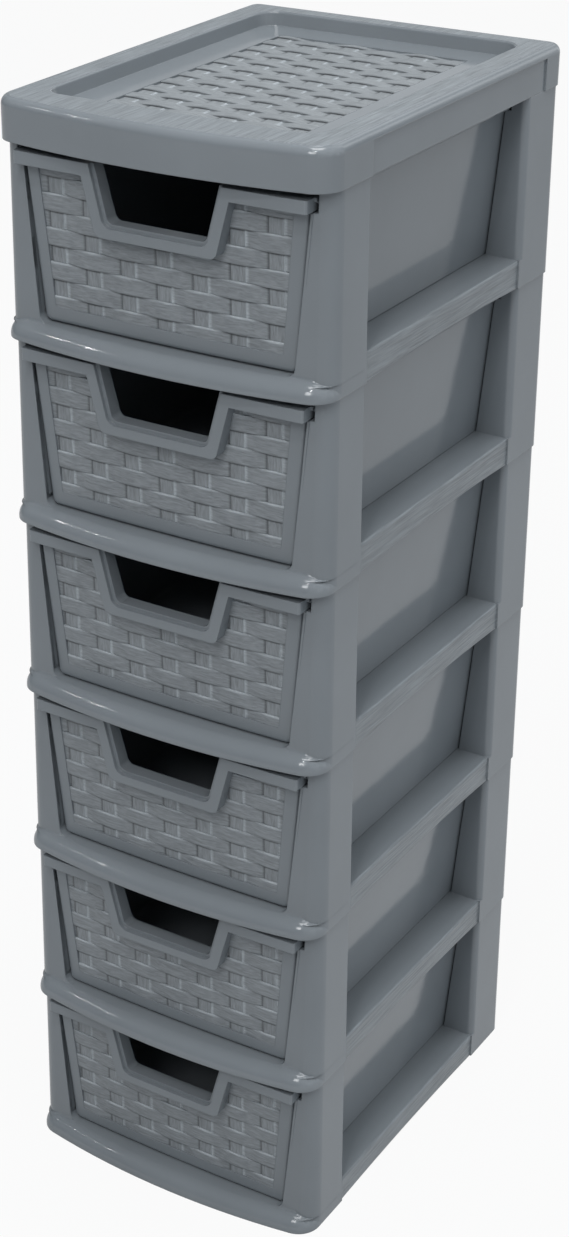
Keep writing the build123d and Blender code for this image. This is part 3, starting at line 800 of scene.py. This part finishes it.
def make_drawer_weave():
    """The relief of one drawer, in place on the lowest tier."""
    tile = make_tile("drawer_tile", DRAWER_PITCH, DRAWER_ROW, [strip_grain, strap_grain])
    middle = LOWEST_ROW_LINE + (DRAWER_TILES - 1) * DRAWER_ROW
    mesh = woven_mesh(
        "drawer_weave", tile, columns=DRAWER_TILES, rows=DRAWER_TILES, pitch=DRAWER_PITCH,
        row_height=DRAWER_ROW, column_shift=-DRAWER_PITCH / 2,
        foot=FIELD_FOOT - HIDDEN_EDGE - middle, head=FIELD_HEAD + HIDDEN_EDGE - middle,
        foot_half_width=FIELD_FOOT_HALF + HIDDEN_EDGE, side_slope=FIELD_SLOPE,
        notch_foot=NOTCH_FOOT - BAND_COVER - middle,
        notch_foot_half_width=NOTCH_FOOT_HALF + BAND_COVER, notch_slope=NOTCH_SLOPE,
        thickness=RELIEF_THICKNESS, bow=FACE_BOW, lean=-FACE_LEAN,
        strip_plastic=strip_grain, strap_plastic=strap_grain)
    face_at_middle = FRONT + FACE_SETBACK + (DRAWER_TOP - middle) * FACE_LEAN
    for vertex in mesh.vertices:
        across, up, out = vertex.co
        vertex.co = (across, face_at_middle - out, middle + up)
    bpy.data.objects.remove(tile)
    return mesh


drawer_weave = make_drawer_weave()
for tier in range(1, TIER_COUNT + 1):
    mesh = drawer_weave.copy()
    for vertex in mesh.vertices:
        vertex.co.z += (tier - 1) * TIER_PITCH
    piece = bpy.data.objects.new(f"woven_front_{tier}", mesh)
    bpy.context.scene.collection.objects.link(piece)
    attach(piece, f"drawer_{tier}_body")
print("faces in one drawer's weave:", len(drawer_weave.polygons))

# %% [markdown]
# ## Returns beside the drawers
# Past the drawer's left edge the photograph shows a dark blue-grey band beside the thin black gap.
# A post that folds back along the opening would look so, and moulded posts often do, but the fold
# itself can't be seen, so this form is a guess. It is drawn as a slanting slab behind the post's
# front, with its inner face in line with the opening's edge and its foot down in the rail.

# %% Returns of the front posts
RETURN_WALL = 1.4 * MM
RETURN_FRONT = FRONT + 15.6 * MM
RETURN_BACK = FRONT + 24.0 * MM
RETURN_FOOT = 12.0 * MM
RETURN_HEAD = 96.0 * MM
OPENING_FOOT_HALF = 80.0 * MM
OPENING_FOOT = 16.5 * MM
OPENING_SLOPE = 7.0 / 79.8
RETURN_STEPS = 6


def make_returns():
    """Twelve slanting slabs as one mesh, two on each tier."""
    points = []
    faces = []
    for tier in range(TIER_COUNT):
        for side in (-1, 1):
            start = len(points)
            for step in range(RETURN_STEPS + 1):
                height = RETURN_FOOT + (RETURN_HEAD - RETURN_FOOT) * step / RETURN_STEPS
                inner = OPENING_FOOT_HALF + (height - OPENING_FOOT) * OPENING_SLOPE
                level = height + tier * TIER_PITCH
                points += [(side * inner, RETURN_FRONT, level),
                           (side * inner, RETURN_BACK, level),
                           (side * (inner + RETURN_WALL), RETURN_BACK, level),
                           (side * (inner + RETURN_WALL), RETURN_FRONT, level)]
            for step in range(RETURN_STEPS):
                low = start + 4 * step
                for i in range(4):
                    j = (i + 1) % 4
                    faces.append((low + i, low + j, low + 4 + j, low + 4 + i))
            faces.append(tuple(start + i for i in range(4)))
            faces.append(tuple(start + 4 * RETURN_STEPS + i for i in (3, 2, 1, 0)))
    mesh = bpy.data.meshes.new("post_returns")
    mesh.from_pydata(points, [], faces)
    shape = bmesh.new()
    shape.from_mesh(mesh)
    bmesh.ops.recalc_face_normals(shape, faces=shape.faces)
    shape.to_mesh(mesh)
    shape.free()
    mesh.materials.append(frame_plastic)
    return mesh


post_returns = bpy.data.objects.new("post_returns", make_returns())
bpy.context.scene.collection.objects.link(post_returns)
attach(post_returns, "tower")
print("faces in the returns:", len(post_returns.data.polygons))

# %% [markdown]
# ## Weave of the tray
# The tray's floor has the same weave lying flat, with the strips across the tower. It fills a
# field sunk in the floor, which stops short of the tray's walls and leaves a plain margin.

# %% Weave of the tray
TRAY_PITCH = 22.1 * MM
TRAY_ROW = 8.7 * MM
TRAY_LINE = -2.0 * MM
TRAY_TILES_ACROSS = 4
TRAY_HALF_WIDTH = 60.3 * MM
TRAY_FRONT = FRONT + 50.5 * MM
TRAY_BACK = BACK - 37 * MM
TRAY_FLOOR = LID_TOP - 8.0 * MM
TRAY_THICKNESS = 0.5 * MM


def make_tray_weave():
    """The relief of the lid's tray, a flat sheet that fills the field sunk in its floor."""
    tile = make_tile("tray_tile", TRAY_PITCH, TRAY_ROW, [strip_grain, tray_strap_grain])
    rows_before = 2 * math.ceil((TRAY_LINE - TRAY_FRONT + HIDDEN_EDGE) / (2 * TRAY_ROW))
    first_line = TRAY_LINE - rows_before * TRAY_ROW
    rows = math.ceil((TRAY_BACK + HIDDEN_EDGE - first_line) / (2 * TRAY_ROW))
    centre = first_line + rows * TRAY_ROW
    mesh = woven_mesh(
        "tray_weave", tile, columns=TRAY_TILES_ACROSS, rows=rows, pitch=TRAY_PITCH,
        row_height=TRAY_ROW, column_shift=0.0, foot=TRAY_FRONT - HIDDEN_EDGE - centre,
        head=TRAY_BACK + HIDDEN_EDGE - centre,
        foot_half_width=TRAY_HALF_WIDTH + HIDDEN_EDGE, side_slope=0.0,
        notch_foot=TRAY_BACK, notch_foot_half_width=0.0, notch_slope=0.0,
        thickness=TRAY_THICKNESS, bow=0.0, lean=0.0,
        strip_plastic=strip_grain, strap_plastic=tray_strap_grain)
    for vertex in mesh.vertices:
        across, up, out = vertex.co
        vertex.co = (across, centre + up, TRAY_FLOOR + out)
    bpy.data.objects.remove(tile)
    return mesh


tray_weave = bpy.data.objects.new("woven_tray", make_tray_weave())
bpy.context.scene.collection.objects.link(tray_weave)
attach(tray_weave, "tower")
print("faces in the tray's weave:", len(tray_weave.data.polygons))

# %% [markdown]
# ## Finish
# The view transform stays plain, so that a colour renders about as it is written.

# %% Finish
bpy.context.scene.view_settings.view_transform = "Standard"
